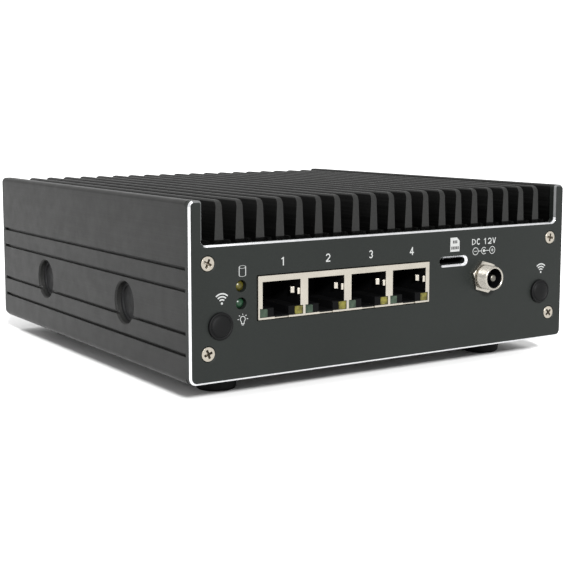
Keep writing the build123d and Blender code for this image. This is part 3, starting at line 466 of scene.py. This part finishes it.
# Threaded barrel of the power inlet: one helical thread from the nut to the turned mouth.
def threaded_barrel():
    pitch, depth = 0.5, 0.2
    crest_r, lip_r, bore_r, lip_depth = 3.5, 2.8, 2.99, 0.6
    neck_r = crest_r - 0.1
    length = (BARREL_HIGH.y - BARREL_LOW.y) / MM
    threaded = (NUT_HIGH.y - BARREL_LOW.y) / MM - 0.1
    barrel = middle("dc_jack_barrel")
    centre = Vector((barrel.x, BARREL_LOW.y, barrel.z))
    step = 0.05
    bm = bmesh.new()

    def ring(radius_at, y):
        made = []
        for i in range(ROUND_SEGMENTS):
            radius = radius_at(i / ROUND_SEGMENTS) * MM
            angle = tau * i / ROUND_SEGMENTS
            made.append(bm.verts.new(centre + Vector((radius * cos(angle), y * MM, radius * sin(angle)))))
        return made

    def thread_r(y):
        def at(turn):
            phase = (y / pitch - turn) % 1.0
            groove = max(0.0, min(1.0, 1.35 * (1 - abs(2 * phase - 1)) - 0.1))
            fade = min(1.0, (threaded - y) / 0.5)
            return min(crest_r - depth * groove * fade, crest_r - 0.25 + y)
        return at

    def plain(radius):
        return lambda turn: radius

    rings = [ring(plain(bore_r), length), ring(plain(bore_r), lip_depth), ring(plain(lip_r), lip_depth)]
    rings += [ring(plain(lip_r), 0.12), ring(plain(lip_r + 0.12), 0.0)]
    rings += [ring(thread_r(step * k), step * k) for k in range(int(threaded / step) + 1)]
    rings += [ring(plain(neck_r), threaded + step), ring(plain(neck_r), length)]
    rings.append(rings[0])
    for first, second in zip(rings, rings[1:]):
        for i in range(ROUND_SEGMENTS):
            j = (i + 1) % ROUND_SEGMENTS
            bm.faces.new((first[i], first[j], second[j], second[i]))
    new_piece("dc_jack_threads", bm, "barrel_nickel", "case", ["dc_jack_barrel"], 60)


# The pin at the back of the bore gets a darker copy of the nickel: painted shade for its place deep in the
# barrel.
looks["pin_nickel_painted_shade"] = plated("pin_nickel_painted_shade", (0.12, 0.115, 0.1), 0.35, 900, 0.2)
wear(nodes["dc_jack_pin"], "pin_nickel_painted_shade")
looks["barrel_nickel"] = plated("barrel_nickel", (0.37, 0.35, 0.31), 0.24, 900, 0.3)
wear(nodes["dc_jack_nut"], "barrel_nickel")
threaded_barrel()


# --- Screen prints: thin ink on the front panel
class Print:
    """Flat shapes in mm about a point of the front panel, raised by the ink's thickness."""

    def __init__(self, x, z, lift=0.0):
        self.x, self.z, self.lift = x, z, lift
        self.bm = bmesh.new()

    def raise_next(self):
        """Lift the next stroke a hair, so that no two crossing strokes share a plane."""
        self.lift += 0.001

    def shape(self, points):
        rims = []
        for lift in (self.lift + INK_T, self.lift):
            y = PANEL_Y - lift * MM
            rims.append([self.bm.verts.new((self.x + u * MM, y, self.z + v * MM)) for u, v in points])
        front, back = rims
        self.bm.faces.new(front)
        self.bm.faces.new(back[::-1])
        for i in range(len(points)):
            j = (i + 1) % len(points)
            self.bm.faces.new((front[j], front[i], back[i], back[j]))

    def disc(self, u, v, radius):
        self.raise_next()
        self.shape(arc_points((u, v), radius, 0, 345, 23))

    def band(self, u, v, radius, width, start=0, end=360, squash=1.0):
        """Part of a ring, or of an ellipse squashed upright."""
        self.raise_next()
        steps = max(6, int(abs(end - start) / 9))
        outer = arc_points((0, 0), radius + width / 2, start, end, steps)
        inner = arc_points((0, 0), radius - width / 2, start, end, steps)
        for k in range(steps):
            quad = (outer[k], outer[k + 1], inner[k + 1], inner[k])
            self.shape([(u + a, v + b * squash) for a, b in quad])

    def bar(self, u0, v0, u1, v1, width):
        self.raise_next()
        length = hypot(u1 - u0, v1 - v0)
        side_u, side_v = -(v1 - v0) / length * width / 2, (u1 - u0) / length * width / 2
        self.shape([(u0 + side_u, v0 + side_v), (u1 + side_u, v1 + side_v),
                    (u1 - side_u, v1 - side_v), (u0 - side_u, v0 - side_v)])

    def done(self, name, look="ink"):
        return new_piece(name, self.bm, look)


def antenna_print(side, x, z):
    """A dot with three arcs fanning out above it."""
    art = Print(x, z)
    art.disc(0, -1.15, 0.3)
    for radius in (0.95, 1.7, 2.45):
        art.band(0, -1.15, radius, 0.36, 47, 133)
    art.done(f"print_antenna_{side}")


def drive_print(x, z):
    """A drum seen a little from above, for the drive's light."""
    art = Print(x, z)
    radius, line = 0.95, 0.2
    art.band(0, 0.95, radius, line, 0, 360, 0.38)
    art.band(0, -1.1, radius, line, 180, 360, 0.38)
    for u in (-radius, radius):
        art.bar(u, 0.95, u, -1.1, line)
    art.done("print_drive_light")


def lamp_print(x, z):
    """A lamp with rays, for the power light."""
    art = Print(x, z)
    line = 0.18
    art.band(0, 0.1, 0.72, line, -55, 235)
    art.bar(-0.4, -0.5, -0.4, -0.95, line)
    art.bar(0.4, -0.5, 0.4, -0.95, line)
    art.bar(-0.5, -1.05, 0.5, -1.05, line)
    art.bar(-0.3, -1.38, 0.3, -1.38, line)
    for angle in (0, 45, 90, 135, 180):
        u, v = cos(radians(angle)), sin(radians(angle))
        art.bar(1.12 * u, 0.1 + 1.12 * v, 1.55 * u, 0.1 + 1.4 * v, line)
    art.done("print_power_light")


def sim_print(x, z):
    """A white card with one corner cut off and two rows of dark contacts."""
    art = Print(x, z)
    w, h, cut = 1.7, 2.0, 1.0
    art.shape([(-w, -h), (w, -h), (w, h - cut), (w - cut, h), (-w, h)])
    art.done("print_sim_card")
    pad = Print(x, z, INK_T)
    for v, columns in ((0.75, 3), (-0.95, 5)):
        for k in range(columns):
            u = (k - (columns - 1) / 2) * 0.58
            pad.bar(u, v - 0.42, u, v + 0.42, 0.4)
    pad.done("print_sim_contacts", "dark_ink")


def polarity_print(x, z):
    """Centre-positive symbol: a minus, a ring with a dot, and a plus, joined by a line."""
    art = Print(x, z)
    line = 0.18
    for u in (-3.2, 3.2):
        art.band(u, 0, 1.02, line)
        art.bar(u - 0.5, 0, u + 0.5, 0, line)
    art.bar(3.2, -0.5, 3.2, 0.5, line)
    art.bar(-2.1, 0, -0.9, 0, line)
    art.bar(0.3, 0, 2.1, 0, line)
    art.band(0, 0, 0.95, line, 45, 315)
    art.disc(0, 0, 0.42)
    art.done("print_polarity")


def figure(art, sign, u, v, width, height, stroke):
    """One figure or letter drawn with strokes in a cell whose middle is (u, v)."""
    w, h, r = width / 2 - stroke / 2, height / 2 - stroke / 2, width / 2 - stroke / 2
    top, low = v + h, v - h
    if sign == "1":
        art.bar(u + 0.1, low - stroke / 2, u + 0.1, top + stroke / 2, stroke)
        art.bar(u - 0.45, top - 0.35, u + 0.1, top, stroke * 0.85)
    elif sign == "2":
        art.band(u, top - r, r, stroke, -40, 165)
        art.bar(u + r * 0.75, top - r * 1.65, u - w, low, stroke)
        art.bar(u - w - stroke / 3, low, u + w + stroke / 2, low, stroke)
    elif sign == "3":
        bowl = h / 2
        art.band(u, top - bowl, bowl, stroke, -90, 160, 1.0)
        art.band(u, low + bowl, bowl, stroke, -160, 90, 1.0)
    elif sign == "4":
        art.bar(u + w * 0.4, low - stroke / 2, u + w * 0.4, top + stroke / 2, stroke)
        art.bar(u + w * 0.4, top, u - w, low + h * 0.55, stroke * 0.85)
        art.bar(u - w - stroke / 2, low + h * 0.55, u + w + stroke / 2, low + h * 0.55, stroke)
    elif sign == "C":
        art.band(u + 0.05, v, w, stroke, 45, 315, h / w)
    elif sign == "D":
        art.bar(u - w, low - stroke / 2, u - w, top + stroke / 2, stroke)
        art.band(u - w + 0.1, v, 2 * w - 0.1, stroke, -90, 90, h / (2 * w - 0.1))
    elif sign == "V":
        art.bar(u - w, top + stroke / 2, u, low, stroke)
        art.bar(u + w, top + stroke / 2, u, low, stroke)


def lettering(name, text, x, z, width, height, pitch, stroke):
    """Generic figures and letters in a row, centred on a point of the front panel. Sizes in mm."""
    art = Print(x, z)
    steps = [pitch * (0.5 if sign == " " else 1.0) for sign in text]
    u = -sum(steps) / 2
    for sign, step in zip(text, steps):
        figure(art, sign, u + step / 2, 0, width, height, stroke)
        u += step
    art.done(name)


def prints():
    left, right = PANEL_LOW.x, PANEL_HIGH.x
    port_z = PANEL_BOTTOM + 29.5 * MM
    shield_low, shield_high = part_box("lan_port_shield")
    shield_mid = (shield_low.x + shield_high.x) / 2
    figure_pitch, figure_shift = 14.1, 0.75
    for i in range(4):
        x = shield_mid + (i - 1.5) * figure_pitch * MM + figure_shift * MM
        lettering(f"print_port_{i + 1}", str(i + 1), x, port_z, 1.45, 2.2, 0, 0.32)
    for side, x in (("left", left + 9.15 * MM), ("right", right - 8.9 * MM)):
        antenna_print(side, x, middle(f"antenna_plug_{side}").z + 6.8 * MM)
    led_x = middle("status_led_yellow").x
    drive_print(led_x + 0.35 * MM, middle("status_led_yellow").z + 3.9 * MM)
    lamp_print(led_x + 0.4 * MM, middle("status_led_green").z - 4.1 * MM)
    sim_print(middle("sim_reader").x + 0.42 * MM, PANEL_BOTTOM + 30.35 * MM)
    jack_x = middle("dc_jack_nut").x - 0.05 * MM
    lettering("print_supply", "DC 12V", jack_x, PANEL_BOTTOM + 30.7 * MM, 1.4, 1.75, 1.72, 0.27)
    polarity_print(jack_x, PANEL_BOTTOM + 27.95 * MM)


prints()


# --- Stage: floor, light and camera
def stage_floor():
    bm = bmesh.new()
    bmesh.ops.create_grid(bm, x_segments=1, y_segments=1, size=8.0)
    mesh = bpy.data.meshes.new("floor")
    bm.to_mesh(mesh)
    floor = bpy.data.objects.new("floor", mesh)
    bpy.context.scene.collection.objects.link(floor)
    looks["floor_paper"] = Shader("floor_paper", (0.8, 0.8, 0.8), 1.0, Specular_IOR_Level=0.0)
    wear(floor, "floor_paper")


def new_light(name, kind, energy):
    light = bpy.data.objects.new(name, bpy.data.lights.new(name, kind))
    light.data.energy = energy
    bpy.context.scene.collection.objects.link(light)
    return light


def from_front(azimuth, elevation):
    """Direction at an azimuth to the left of the front and an elevation above the floor, in degrees."""
    level = cos(radians(elevation))
    return Vector((-level * sin(radians(azimuth)), -level * cos(radians(azimuth)), sin(radians(elevation))))


def stage_lights():
    """An even white studio, a softbox overhead, and a broad key from the front left."""
    world = bpy.data.worlds.new("studio")
    world.use_nodes = True
    world.node_tree.nodes["Background"].inputs["Color"].default_value = (1, 1, 1, 1)
    world.node_tree.nodes["Background"].inputs["Strength"].default_value = 1.05
    bpy.context.scene.world = world
    top = new_light("top_softbox", "AREA", 3)
    top.data.shape = "RECTANGLE"
    top.data.size = top.data.size_y = 0.9
    top.location = (0.0, 0.05, 0.9)
    top.rotation_euler = (-top.location).to_track_quat("-Z", "Y").to_euler()
    key = new_light("low_key", "SUN", 6.9)
    key.data.angle = radians(8.6)
    key.rotation_euler = from_front(19, 27).to_track_quat("Z", "Y").to_euler()


def stage_camera():
    """Camera at the photographed angle: 33 degrees to the left of the front, 7 degrees above level."""
    data = bpy.data.cameras.new("camera")
    data.lens = 76.3
    data.sensor_width = 36.0
    data.shift_x = -0.0049
    data.shift_y = -0.0433
    camera = bpy.data.objects.new("camera", data)
    bpy.context.scene.collection.objects.link(camera)
    camera.location = (PANEL_LOW.x - 0.13796, PANEL_Y - 0.25459, PANEL_BOTTOM + 0.0668)
    camera.rotation_euler = (radians(90 - 6.81), 0, radians(-33.05))
    bpy.context.scene.camera = camera


stage_floor()
stage_lights()
stage_camera()
bpy.context.scene.view_settings.view_transform = "Standard"
